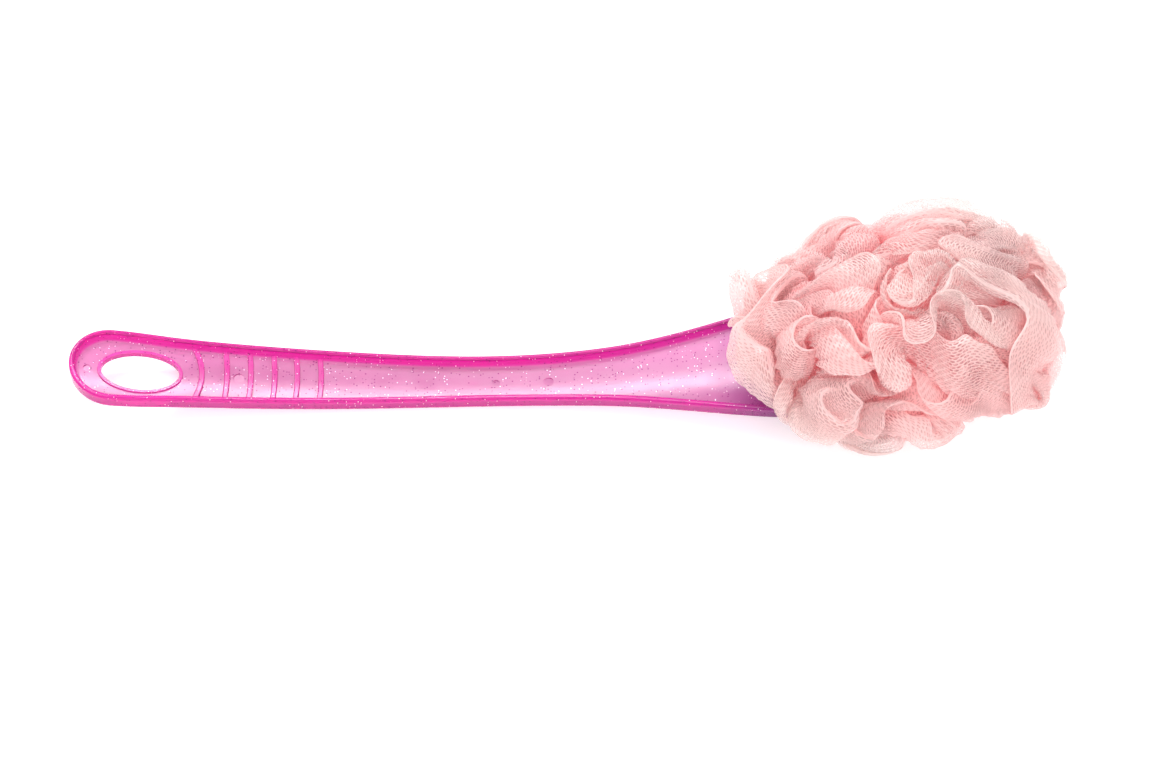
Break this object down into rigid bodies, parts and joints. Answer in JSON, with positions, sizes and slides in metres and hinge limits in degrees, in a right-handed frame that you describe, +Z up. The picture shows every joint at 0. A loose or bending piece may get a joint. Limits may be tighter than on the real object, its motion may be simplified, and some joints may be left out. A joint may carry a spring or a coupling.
{
  "type": "bath back scrubber",
  "caption": "Long-handled back scrubber: a bowed translucent plastic channel handle with a hanging hole, grip ribs and a paddle head laced with gathered netting ruffles.",
  "frame": {"origin": "on the table under the middle of the bounding box, with the scrubber lying at rest", "axes": "+X from the hanging end to the puff, +Z up out of the channel side of the handle"},
  "size_m": [0.4, 0.108, 0.083],
  "materials": {
    "handle_plastic": "translucent glitter moulding",
    "netting": "knitted nylon netting",
    "tie_cord": "twisted nylon cord"
  },
  "bodies": {
    "root": {"handle": "handle_plastic", "netting_neck": "netting", "netting_front_far": "netting", "netting_front_near": "netting", "netting_tip": "netting", "netting_back_far": "netting", "netting_back_near": "netting", "tie_1": "tie_cord", "tie_2": "tie_cord", "tie_3": "tie_cord", "tie_4": "tie_cord"}
  },
  "joints": []
}
